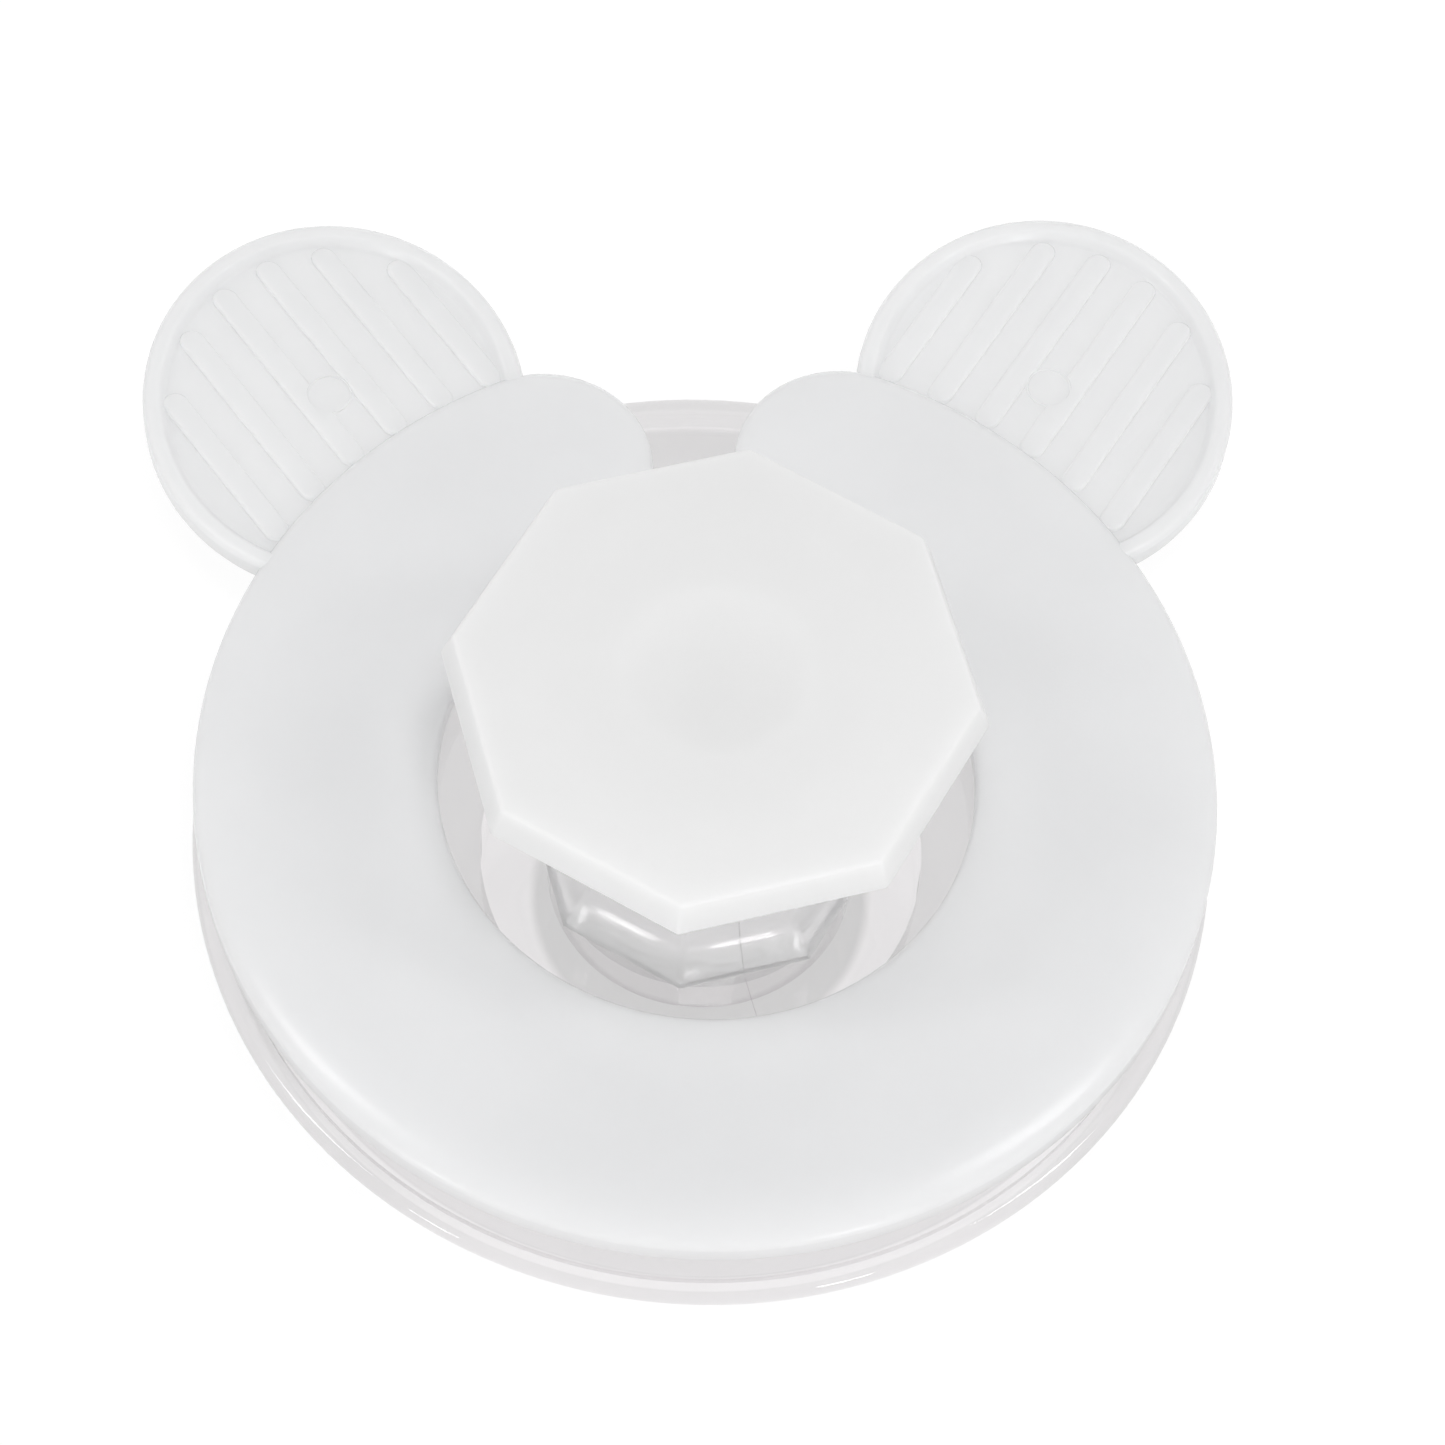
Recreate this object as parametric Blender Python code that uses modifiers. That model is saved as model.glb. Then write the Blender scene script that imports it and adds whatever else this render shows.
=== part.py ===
# Highlighting cap: a lipped disc on a round foot, an eight-sided neck and head, and a loose split ring
# with two ribbed finger tabs. Metres, +Z up. The origin is on the neck's axis, on the surface below the foot.
import math

import bmesh
import bpy
from mathutils import Matrix

# Base disc
DISC_RADIUS = 0.0400
DISC_THICKNESS = 0.0019
LIP_RADIUS = 0.0010
LIP_RISE = 0.0012
LIP_SWEEP = 230.0
RIM_SLOPE = 0.0035
FOOT_RADIUS = 0.0175
FOOT_HEIGHT = 0.0050
SOCKET_RADIUS = 0.0122
SOCKET_BOTTOM = 0.0010

# Neck post, sized across its corners
SIDES = 8
HEAD_TURN = math.radians(-9.6)
NECK_FOOT_RADIUS = 0.0138
NECK_WAIST_RADIUS = 0.0108
NECK_TOP_RADIUS = 0.0126
NECK_HEIGHT = 0.0199
COVE_HEIGHT = 0.0070
COVE_SWEEP = math.radians(62)
CORE_RADIUS = 0.0078
CORE_ROOF = 0.0030
TENON_RADIUS = 0.0085
TENON_HEIGHT = 0.0038

# Head plate, sized across its corners
HEAD_RADIUS = 0.0207
HEAD_DRAFT = 0.0010
HEAD_THICKNESS = 0.0028
HEAD_CHAMFER = 0.0003
COLLAR_RADIUS = 0.0130
COLLAR_HEIGHT = 0.0030
DISH_RADIUS = 0.0076
DISH_DEPTH = 0.0010

# Split ring
RING_RADIUS = 0.0402
RING_THICKNESS = 0.0030
RING_EDGE = 0.0015
CROWN_WIDTH = 0.0045
HEAD_CLEARANCE = 0.00045
GAP_WIDTH = 0.0066
HORN_OUTER_FILLET = 0.0089
HORN_INNER_FILLET = 0.0070
RING_DRAWN_BACK = 0.0032
RING_DRAWN_ASIDE = 0.00035

# Finger tabs: ovals set out from the ring's own centre
TAB_REACH = 0.0457
TAB_SPREAD = math.radians(39.7)
TAB_TURN = math.radians(11.4)
TAB_LENGTH = 0.0350
TAB_WIDTH = 0.0312
TAB_LIFT = 0.0002
TAB_FLOOR = 0.0012
TAB_EDGE = 0.0020
TAB_BORDER = 0.0021
TAB_ROUND = 0.0005
RIB_COUNT = 6
RIB_PITCH = 0.0045
RIB_SHIFT = -0.00075
RIB_WIDTH = 0.0022
RIB_HEIGHT = 0.0004
RIB_ANGLE = math.radians(34.3)

# Clearances and facet counts
FIT_GAP = 0.0003
SINK = 0.0003
ROUND_STEPS = 80
ARC_STEP = math.radians(4.0)
CROWN_STEPS = 5
COVE_STEPS = 5
LIP_STEPS = 9
TAB_STEPS = 60
SMOOTH_ANGLE = math.radians(30)
MERGE = 0.00001

# Heights and sizes that follow from the values above
FLOOR_Z = FOOT_HEIGHT + DISC_THICKNESS
LIP_TOP_Z = FLOOR_Z + LIP_RISE + LIP_RADIUS
NECK_Z = FLOOR_Z + FIT_GAP
NECK_TOP_Z = NECK_Z + NECK_HEIGHT
COLLAR_Z = NECK_TOP_Z + FIT_GAP
HEAD_Z = COLLAR_Z + COLLAR_HEIGHT
HEAD_TOP_Z = HEAD_Z + HEAD_THICKNESS
RING_Z = LIP_TOP_Z + FIT_GAP
HOLE_RADIUS = HEAD_RADIUS + HEAD_CLEARANCE
TAB_Z = RING_Z + TAB_LIFT

for old in list(bpy.data.objects):
    bpy.data.objects.remove(old, do_unlink=True)


def collection(name):
    made = bpy.data.collections.new(name)
    bpy.context.scene.collection.children.link(made)
    return made


PARTS = collection("highlighting_cap")
CUTTERS = collection("cutters")


def plastic(name, colour, roughness):
    material = bpy.data.materials.new(name)
    material.use_nodes = True
    shader = material.node_tree.nodes["Principled BSDF"]
    shader.inputs["Base Color"].default_value = (*colour, 1.0)
    shader.inputs["Roughness"].default_value = roughness
    shader.inputs["Metallic"].default_value = 0.0
    return material


def place(name, mesh, material=None):
    """Link a finished piece, or a hidden cutter when it has no material."""
    item = bpy.data.objects.new(name, mesh)
    if material:
        mesh.materials.append(material)
        PARTS.objects.link(item)
    else:
        CUTTERS.objects.link(item)
        item.hide_render = True
        item.display_type = "WIRE"
    return item


def combine(item, other, operation):
    boolean = item.modifiers.new(operation.lower(), "BOOLEAN")
    boolean.operation = operation
    boolean.object = other


def turned(name, profile, steps, material=None):
    """Turn a profile of (radius, height) points, running down its outer side, about the Z axis."""
    mesh = bpy.data.meshes.new(name)
    edges = [(i, i + 1) for i in range(len(profile) - 1)]
    mesh.from_pydata([(radius, 0.0, height) for radius, height in profile], edges, [])
    item = place(name, mesh, material)
    screw = item.modifiers.new("turn", "SCREW")
    screw.steps = steps
    screw.render_steps = steps
    screw.use_merge_vertices = True
    screw.merge_threshold = MERGE
    screw.use_smooth_shade = False
    return item


def arc(centre_x, centre_y, radius, start, end):
    """Points along an arc, both ends included, turning from start to end in radians."""
    count = max(2, round(abs(end - start) / ARC_STEP))
    angles = [start + (end - start) * i / count for i in range(count + 1)]
    return [(centre_x + radius * math.cos(a), centre_y + radius * math.sin(a)) for a in angles]


def lip_profile():
    """The lip's round section, from the floor inside it over the top to below its widest point."""
    centre_x = DISC_RADIUS - LIP_RADIUS
    centre_z = FLOOR_Z + LIP_RISE
    points = [(DISC_RADIUS - 2 * LIP_RADIUS, FLOOR_Z)]
    for i in range(LIP_STEPS + 1):
        a = math.radians(180 - LIP_SWEEP * i / LIP_STEPS)
        points.append((centre_x + LIP_RADIUS * math.cos(a), centre_z + LIP_RADIUS * math.sin(a)))
    return points


def base_disc(material):
    profile = [(0.0, SOCKET_BOTTOM), (SOCKET_RADIUS, SOCKET_BOTTOM), (SOCKET_RADIUS, FLOOR_Z)]
    profile += lip_profile()
    profile += [(DISC_RADIUS - RIM_SLOPE, FOOT_HEIGHT), (FOOT_RADIUS, FOOT_HEIGHT)]
    profile += [(FOOT_RADIUS, 0.0), (0.0, 0.0)]
    return turned("base_disc", profile, ROUND_STEPS, material)


def cove(end_radius, height):
    """A hollow flare from the waist out to end_radius: (radius, distance from the end), end first."""
    points = []
    for i in range(COVE_STEPS + 1):
        a = COVE_SWEEP * (1 - i / COVE_STEPS)
        out = (1 - math.cos(a)) / (1 - math.cos(COVE_SWEEP))
        radius = NECK_WAIST_RADIUS + (end_radius - NECK_WAIST_RADIUS) * out
        points.append((radius, height * (1 - math.sin(a) / math.sin(COVE_SWEEP))))
    return points


def neck_post(material):
    tenon_top = NECK_TOP_Z + TENON_HEIGHT
    profile = [(0.0, tenon_top), (TENON_RADIUS, tenon_top), (TENON_RADIUS, NECK_TOP_Z)]
    profile += [(radius, NECK_TOP_Z - down) for radius, down in cove(NECK_TOP_RADIUS, COVE_HEIGHT)]
    profile += [(radius, NECK_Z + up) for radius, up in reversed(cove(NECK_FOOT_RADIUS, COVE_HEIGHT))]
    profile += [(0.0, NECK_Z)]
    post = turned("neck_post", profile, SIDES, material)
    post.rotation_euler.z = HEAD_TURN

    spigot_radius = SOCKET_RADIUS - FIT_GAP
    spigot_low = SOCKET_BOTTOM + FIT_GAP
    spigot_profile = [(0.0, NECK_Z + SINK), (spigot_radius, NECK_Z + SINK)]
    spigot_profile += [(spigot_radius, spigot_low), (0.0, spigot_low)]
    combine(post, turned("spigot", spigot_profile, ROUND_STEPS), "UNION")

    core_top = NECK_TOP_Z - CORE_ROOF
    core_low = spigot_low - SINK
    core_profile = [(0.0, core_top), (CORE_RADIUS, core_top), (CORE_RADIUS, core_low), (0.0, core_low)]
    combine(post, turned("neck_core", core_profile, ROUND_STEPS // 2), "DIFFERENCE")
    return post


def head_plate(material):
    top_radius = HEAD_RADIUS - HEAD_DRAFT
    profile = [(0.0, HEAD_TOP_Z), (top_radius - HEAD_CHAMFER, HEAD_TOP_Z)]
    profile += [(top_radius, HEAD_TOP_Z - HEAD_CHAMFER), (HEAD_RADIUS, HEAD_Z)]
    profile += [(COLLAR_RADIUS, HEAD_Z), (COLLAR_RADIUS, COLLAR_Z), (0.0, COLLAR_Z)]
    head = turned("head_plate", profile, SIDES, material)
    head.rotation_euler.z = HEAD_TURN

    socket_radius = TENON_RADIUS + FIT_GAP
    socket_top = NECK_TOP_Z + TENON_HEIGHT + FIT_GAP
    socket_profile = [(0.0, socket_top), (socket_radius, socket_top)]
    socket_profile += [(socket_radius, COLLAR_Z - SINK), (0.0, COLLAR_Z - SINK)]
    socket = turned("head_socket", socket_profile, SIDES)
    socket.rotation_euler.z = HEAD_TURN
    combine(head, socket, "DIFFERENCE")

    # The thumb dish is a slice of a large ball, as wide and as deep as stated.
    ball_radius = (DISH_RADIUS ** 2 + DISH_DEPTH ** 2) / (2 * DISH_DEPTH)
    ball_z = HEAD_TOP_Z - DISH_DEPTH + ball_radius
    cap_angle = math.asin(DISH_RADIUS / ball_radius)
    dish_profile = [(0.0, HEAD_TOP_Z + SINK), (DISH_RADIUS, HEAD_TOP_Z + SINK)]
    for i in range(COVE_STEPS + 1):
        a = cap_angle * (1 - i / COVE_STEPS)
        dish_profile.append((ball_radius * math.sin(a), ball_z - ball_radius * math.cos(a)))
    combine(head, turned("thumb_dish", dish_profile, ROUND_STEPS // 2), "DIFFERENCE")
    return head


def ring_outline():
    """The split ring seen from above, anticlockwise, with the gap towards +Y and its ends rounded."""
    half_gap = GAP_WIDTH / 2
    outer_x = half_gap + HORN_OUTER_FILLET
    outer_y = math.sqrt((RING_RADIUS - HORN_OUTER_FILLET) ** 2 - outer_x ** 2)
    inner_x = half_gap + HORN_INNER_FILLET
    inner_y = math.sqrt((HOLE_RADIUS + HORN_INNER_FILLET) ** 2 - inner_x ** 2)
    outer_turn = math.atan2(outer_y, outer_x)
    inner_turn = math.atan2(inner_y, inner_x)
    runs = [
        arc(0, 0, RING_RADIUS, math.pi - outer_turn, 2 * math.pi + outer_turn),
        arc(outer_x, outer_y, HORN_OUTER_FILLET, outer_turn, math.pi),
        arc(inner_x, inner_y, HORN_INNER_FILLET, math.pi, math.pi + inner_turn),
        arc(0, 0, HOLE_RADIUS, inner_turn, -math.pi - inner_turn),
        arc(-inner_x, inner_y, HORN_INNER_FILLET, -inner_turn, 0),
        arc(-outer_x, outer_y, HORN_OUTER_FILLET, 0, math.pi - outer_turn),
    ]
    outline = []
    for run in runs:
        for point in run:
            if not outline or math.dist(point, outline[-1]) > MERGE:
                outline.append(point)
    if math.dist(outline[0], outline[-1]) <= MERGE:
        outline.pop()
    return outline


def raised_plate(name, outline, bottom, steps, material=None):
    """A plate over an outline: each step insets its top face by (inwards) and lifts it by (upwards)."""
    shape = bmesh.new()
    face = shape.faces.new([shape.verts.new((x, y, bottom)) for x, y in outline])
    face.normal_flip()
    top = bmesh.ops.extrude_face_region(shape, geom=[face], use_keep_orig=True)["geom"]
    lid = next(item for item in top if isinstance(item, bmesh.types.BMFace))
    lid.normal_update()
    if lid.normal.z < 0:
        lid.normal_flip()
    first_lift = steps[0][1]
    bmesh.ops.translate(shape, verts=lid.verts, vec=(0, 0, first_lift))
    for inwards, upwards in steps[1:]:
        bmesh.ops.inset_individual(shape, faces=[lid], thickness=inwards, depth=upwards, use_even_offset=True)
    bmesh.ops.recalc_face_normals(shape, faces=shape.faces)
    mesh = bpy.data.meshes.new(name)
    shape.to_mesh(mesh)
    shape.free()
    return place(name, mesh, material)


def crown_steps():
    """A straight edge, then a quarter oval that rises to the ring's full thickness."""
    steps = [(0.0, RING_EDGE)]
    rise = RING_THICKNESS - RING_EDGE
    turns = [math.pi / 2 * i / CROWN_STEPS for i in range(CROWN_STEPS + 1)]
    for before, after in zip(turns, turns[1:]):
        inwards = CROWN_WIDTH * (math.cos(before) - math.cos(after))
        steps.append((inwards, rise * (math.sin(after) - math.sin(before))))
    return steps


def tab_axes(side):
    """Centre, long axis and short axis of one tab's oval: side is 1 on the right and -1 on the left."""
    centre = (side * TAB_REACH * math.sin(TAB_SPREAD), TAB_REACH * math.cos(TAB_SPREAD))
    long_axis = (side * math.sin(TAB_TURN), math.cos(TAB_TURN))
    return centre, long_axis, (long_axis[1], -long_axis[0])


def tab_outline(side):
    centre, along, across = tab_axes(side)
    points = []
    for i in range(TAB_STEPS):
        a = 2 * math.pi * i / TAB_STEPS
        u = TAB_LENGTH / 2 * math.cos(a)
        v = -TAB_WIDTH / 2 * math.sin(a)
        points.append((centre[0] + u * along[0] + v * across[0], centre[1] + u * along[1] + v * across[1]))
    return points


def rib_span(side, offset):
    """Where a rib line, offset sideways from the tab's centre, meets the pocket's oval: (start, end)."""
    _, along, across = tab_axes(side)
    run = (side * math.sin(RIB_ANGLE), math.cos(RIB_ANGLE))
    step = (run[1] * offset, -run[0] * offset)
    long_half = TAB_LENGTH / 2 - TAB_BORDER
    wide_half = TAB_WIDTH / 2 - TAB_BORDER
    run_u = (run[0] * along[0] + run[1] * along[1]) / long_half
    run_v = (run[0] * across[0] + run[1] * across[1]) / wide_half
    step_u = (step[0] * along[0] + step[1] * along[1]) / long_half
    step_v = (step[0] * across[0] + step[1] * across[1]) / wide_half
    a = run_u ** 2 + run_v ** 2
    b = run_u * step_u + run_v * step_v
    c = step_u ** 2 + step_v ** 2 - 1
    reach = b * b - a * c
    if reach <= 0:
        return None
    root = math.sqrt(reach)
    return (-b - root) / a, (-b + root) / a


def tab_ribs(side):
    """Low flat ribs across the pocket, all in one direction, clear of its border's rounding."""
    centre = tab_axes(side)[0]
    turn = -side * RIB_ANGLE
    for number in range(RIB_COUNT):
        offset = side * ((number - (RIB_COUNT - 1) / 2) * RIB_PITCH + RIB_SHIFT)
        spans = [rib_span(side, offset + edge * RIB_WIDTH / 2) for edge in (-1, 1)]
        if None in spans:
            continue
        start = max(span[0] for span in spans) - SINK
        end = min(span[1] for span in spans) + SINK
        bar = bmesh.new()
        bmesh.ops.create_cube(bar, size=1.0)
        bmesh.ops.scale(bar, verts=bar.verts, vec=(RIB_WIDTH, end - start, RIB_HEIGHT + SINK))
        middle = (offset, (start + end) / 2, TAB_Z + TAB_FLOOR + (RIB_HEIGHT - SINK) / 2)
        bmesh.ops.translate(bar, verts=bar.verts, vec=middle)
        bmesh.ops.rotate(bar, verts=bar.verts, cent=(0, 0, 0), matrix=Matrix.Rotation(turn, 3, "Z"))
        bmesh.ops.translate(bar, verts=bar.verts, vec=(*centre, 0))
        name = f"rib_{'right' if side > 0 else 'left'}_{number + 1}"
        mesh = bpy.data.meshes.new(name)
        bar.to_mesh(mesh)
        bar.free()
        yield place(name, mesh)


def finger_tab(side):
    """One oval tab: a rounded border round a sunk pocket, with the ribs standing in the pocket."""
    steps = [(0.0, TAB_EDGE - TAB_ROUND), (TAB_ROUND, TAB_ROUND)]
    steps += [(TAB_BORDER - 2 * TAB_ROUND, 0.0), (TAB_ROUND, TAB_FLOOR - TAB_EDGE)]
    name = "tab_right" if side > 0 else "tab_left"
    tab = raised_plate(name, tab_outline(side), TAB_Z, steps)
    for rib in tab_ribs(side):
        combine(tab, rib, "UNION")
    return tab


def clip_ring(material):
    seat = bpy.data.objects.new("ring_seat", None)
    PARTS.objects.link(seat)
    seat.location.x = RING_DRAWN_ASIDE
    seat.location.y = RING_DRAWN_BACK
    ring = raised_plate("clip_ring", ring_outline(), RING_Z, crown_steps(), material)
    ring.parent = seat
    for side in (-1, 1):
        tab = finger_tab(side)
        tab.parent = seat
        for boolean in tab.modifiers:
            boolean.object.parent = seat
        combine(ring, tab, "UNION")
    return ring


def smooth(item):
    item.data.shade_smooth()
    item.data.set_sharp_from_angle(angle=SMOOTH_ANGLE)


CLEAR = plastic("clear_glossy", (0.77, 0.755, 0.762), 0.12)
CLEAR_NECK = plastic("clear_neck", (0.62, 0.62, 0.62), 0.10)
FROSTED = plastic("frosted_white", (0.80, 0.80, 0.80), 0.55)
FROSTED_RING = plastic("frosted_ring", (0.77, 0.77, 0.77), 0.50)

for piece in (base_disc(CLEAR), neck_post(CLEAR_NECK), head_plate(FROSTED), clip_ring(FROSTED_RING)):
    smooth(piece)
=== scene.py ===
import math

import bpy
from mathutils import Matrix, Vector


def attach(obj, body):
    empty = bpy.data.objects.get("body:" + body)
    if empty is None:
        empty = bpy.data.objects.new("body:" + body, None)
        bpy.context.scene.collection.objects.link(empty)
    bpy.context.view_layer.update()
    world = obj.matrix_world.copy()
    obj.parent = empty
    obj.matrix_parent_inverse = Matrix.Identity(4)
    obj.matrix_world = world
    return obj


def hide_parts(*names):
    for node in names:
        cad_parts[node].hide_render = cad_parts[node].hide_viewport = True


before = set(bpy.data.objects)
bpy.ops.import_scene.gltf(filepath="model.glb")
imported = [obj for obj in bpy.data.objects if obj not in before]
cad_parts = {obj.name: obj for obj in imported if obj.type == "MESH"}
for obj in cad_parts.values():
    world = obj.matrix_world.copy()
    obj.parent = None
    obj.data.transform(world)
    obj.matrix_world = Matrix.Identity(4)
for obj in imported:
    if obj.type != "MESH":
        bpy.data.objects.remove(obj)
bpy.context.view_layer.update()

# Sizes in metres, the same as the solids'
DISC_RADIUS = 0.0400
LIP_RADIUS = 0.0010
LIP_Z = 0.0081
FLOOR_Z = 0.0069
FOOT_RADIUS = 0.0175
FOOT_HEIGHT = 0.0050
RIM_SLOPE = 0.0035
SOCKET_RADIUS = 0.0122
SOCKET_BOTTOM = 0.0010

SIDES = 8
HEAD_TURN = math.radians(-9.6)
NECK_Z = 0.0072
NECK_TOP_Z = 0.0271
NECK_FOOT_RADIUS = 0.0138
NECK_WAIST_RADIUS = 0.0108
NECK_TOP_RADIUS = 0.0126
COVE_HEIGHT = 0.0070
COVE_SWEEP = math.radians(62)
SPIGOT_RADIUS = 0.0119
SPIGOT_LOW = 0.0013
CORE_RADIUS = 0.0078
CORE_TOP = 0.0241
TENON_RADIUS = 0.0085
TENON_TOP = 0.0309

HEAD_Z = 0.0304
HEAD_TOP_Z = 0.0332
HEAD_RADIUS = 0.0207
HEAD_TOP_RADIUS = 0.0197
COLLAR_RADIUS = 0.0130
COLLAR_Z = 0.0274
SOCKET_TOP = 0.0312
HEAD_SOCKET_RADIUS = 0.0088
DISH_RADIUS = 0.0076
DISH_DEPTH = 0.0010

RING_PLACE = Vector((0.00035, 0.0032, 0.0094))
RING_RADIUS = 0.0402
HOLE_RADIUS = 0.02115
RING_EDGE = 0.0015
RING_THICKNESS = 0.0030
CROWN_WIDTH = 0.0045
HALF_GAP = 0.0033
HORN_OUTER_FILLET = 0.0089
HORN_INNER_FILLET = 0.0070

TAB_REACH = 0.0457
TAB_SPREAD = math.radians(39.7)
TAB_TURN = math.radians(11.4)
TAB_LENGTH = 0.0350
TAB_WIDTH = 0.0312
TAB_LIFT = 0.0002
TAB_FLOOR = 0.0012
TAB_EDGE = 0.0020
TAB_BORDER = 0.0021
RIB_COUNT = 6
RIB_PITCH = 0.0045
RIB_WIDTH = 0.0022
RIB_HEIGHT = 0.0004
RIB_ANGLE = math.radians(34.3)

# The ribs' own place and lean, and the fine forms that the solids leave out
RIB_SHIFT = -0.00060
RIB_LEAN = math.radians(7)
RIB_ROUNDING = 0.00032
RIB_IN_RING = 0.0002
FLOOR_ROUNDING = 0.0005
FOOT_ROUNDING = 0.0004
NECK_ROUNDING = 0.0005
SPIGOT_CHAMFER = 0.0004
CORE_CHAMFER = 0.0006
HEAD_ROUNDING = 0.00025
BRIM_SHARE = 0.15
TAB_SHOULDER = 0.0006
POCKET_SLOPE = 0.0009

# Moulding marks: ejector pins in the tabs, the parting line and the burr in the crease at the neck's foot
MARK_RADIUS = 0.0018
MARK_OUT = 0.0005
MARK_BACK = 0.0009
MARK_DEPTH = 0.00002
MARK_BURR = 0.00009
PARTING_CORNER = 6.5
PARTING_FLOOR = (0.0129, 0.0210)
PARTING_BURR = 0.00004
CREASE_INSET = 0.0003
CREASE_BURR = 0.00009

# Painted shadow: the dark spot painted on the disc's bottom under the neck, which shows through the disc,
# set forward to suit the view from the camera's side
SHADOW_SPOT_RADIUS = 0.0134
SHADOW_SPOT_FORWARD = 0.0018

# How far a piece that is joined on, or a cutter, runs into or past the piece it works on
OVERLAP = 0.001
SPIGOT_OVERLAP = 0.0008
COLLAR_OVERLAP = 0.0005
RIB_SUNK = 0.0006
MARK_CUTTER = 0.002

ROUND_STEPS = 160
SMALL_ROUND_STEPS = 96
COVE_STEPS = 12
DISH_STEPS = 24
CROWN_STEPS = 12
TAB_STEPS = 6
RIB_END_STEPS = 10
TAB_SIDES = 128
MARK_SIDES = 64
WELD = 0.000002


def clear_selection():
    bpy.ops.object.select_all(action="DESELECT")


def pick(item):
    """Make one object the only selected and active one."""
    clear_selection()
    item.select_set(True)
    bpy.context.view_layer.objects.active = item


def edit_mode():
    bpy.ops.object.mode_set(mode="EDIT")


def object_mode():
    bpy.ops.object.mode_set(mode="OBJECT")


def select_faces():
    bpy.ops.mesh.select_mode(type="FACE")
    bpy.ops.mesh.select_all(action="SELECT")


def start_point(name, place):
    """A new object in edit mode that holds one selected vertex, ready to be drawn from."""
    clear_selection()
    bpy.ops.mesh.primitive_plane_add(size=0.001, location=(0, 0, 0))
    item = bpy.context.object
    item.name = name
    edit_mode()
    bpy.ops.mesh.select_mode(type="VERT")
    bpy.ops.mesh.select_all(action="SELECT")
    bpy.ops.mesh.merge(type="CENTER")
    bpy.ops.transform.translate(value=place)
    return item


def draw_to(step):
    """Extrude what is selected by a step."""
    bpy.ops.mesh.extrude_region_move(TRANSFORM_OT_translate={"value": step})


def draw_profile(name, points):
    """Draw (radius, height) points one after another in the XZ plane and stay in edit mode."""
    item = start_point(name, (points[0][0], 0, points[0][1]))
    for before, after in zip(points, points[1:]):
        draw_to((after[0] - before[0], 0, after[1] - before[1]))
    return item


def fill_outline():
    """Close a drawn outline and leave its face selected."""
    bpy.ops.mesh.select_all(action="SELECT")
    bpy.ops.mesh.remove_doubles(threshold=WELD)
    bpy.ops.mesh.edge_face_add()
    select_faces()


def round_over(width, rise, steps):
    """Raise the selected face by insets along a quarter of an oval."""
    for i in range(steps):
        a = math.pi / 2 * i / steps
        b = math.pi / 2 * (i + 1) / steps
        bpy.ops.mesh.inset(thickness=width * (math.cos(a) - math.cos(b)), depth=0)
        bpy.ops.transform.translate(value=(0, 0, rise * (math.sin(b) - math.sin(a))))


def close_up():
    """Weld the mesh, face it outwards and leave edit mode."""
    bpy.ops.mesh.select_all(action="SELECT")
    bpy.ops.mesh.remove_doubles(threshold=WELD)
    bpy.ops.mesh.normals_make_consistent(inside=False)
    object_mode()


def turn_profile(name, points, steps=ROUND_STEPS):
    """Spin a drawn profile round the Z axis into a closed solid."""
    item = draw_profile(name, points)
    bpy.ops.mesh.select_all(action="SELECT")
    bpy.ops.mesh.spin(steps=steps, angle=2 * math.pi, center=(0, 0, 0), axis=(0, 0, 1))
    close_up()
    return item


def use_modifier(item, kind, **settings):
    """Add a modifier, set it and apply it."""
    pick(item)
    modifier = item.modifiers.new(kind.lower(), kind)
    for key, value in settings.items():
        setattr(modifier, key, value)
    bpy.ops.object.modifier_apply(modifier=modifier.name)


def join_by_boolean(item, other, operation):
    use_modifier(item, "BOOLEAN", operation=operation, solver="EXACT", object=other)
    bpy.data.objects.remove(other, do_unlink=True)


def soften(item, width, segments, angle):
    """Round the edges that are sharper than an angle in degrees."""
    use_modifier(
        item, "BEVEL", width=width, segments=segments, limit_method="ANGLE",
        angle_limit=math.radians(angle), use_clamp_overlap=True, harden_normals=False,
    )


def smooth(item, angle):
    """Shade smoothly across the edges that are flatter than an angle in degrees."""
    pick(item)
    bpy.ops.object.shade_smooth_by_angle(angle=math.radians(angle))


def finish_piece(item, body, node, material):
    item.data.materials.clear()
    item.data.materials.append(material)
    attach(item, body)
    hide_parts(node)


def arc_points(centre, radius, start, end, steps):
    """Points of an arc in the XZ plane, by angle from +X in degrees, both ends included."""
    points = []
    for i in range(steps + 1):
        a = math.radians(start + (end - start) * i / steps)
        points.append((centre[0] + radius * math.cos(a), centre[1] + radius * math.sin(a)))
    return points


def lay_bead(item, points, radius, cuts, wobble):
    """Lay a fine irregular burr along a line of points and join it to a piece."""
    bead = start_point("bead", points[0])
    for before, after in zip(points, points[1:]):
        draw_to(after - before)
    bpy.ops.mesh.select_all(action="SELECT")
    bpy.ops.mesh.subdivide(number_cuts=cuts)
    bpy.ops.transform.vertex_random(offset=wobble, seed=3)
    object_mode()
    pick(bead)
    bpy.ops.object.convert(target="CURVE")
    bead.data.bevel_depth = radius
    bead.data.bevel_resolution = 2
    bead.data.use_fill_caps = True
    bpy.ops.object.convert(target="MESH")
    pick(item)
    bead.select_set(True)
    bpy.ops.object.join()


def on_corner(radius, height, corner):
    """The place of one of the neck's and head's corners, counted from the one nearest +X."""
    a = HEAD_TURN + 2 * math.pi * corner / SIDES
    return Vector((radius * math.cos(a), radius * math.sin(a), height))


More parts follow.
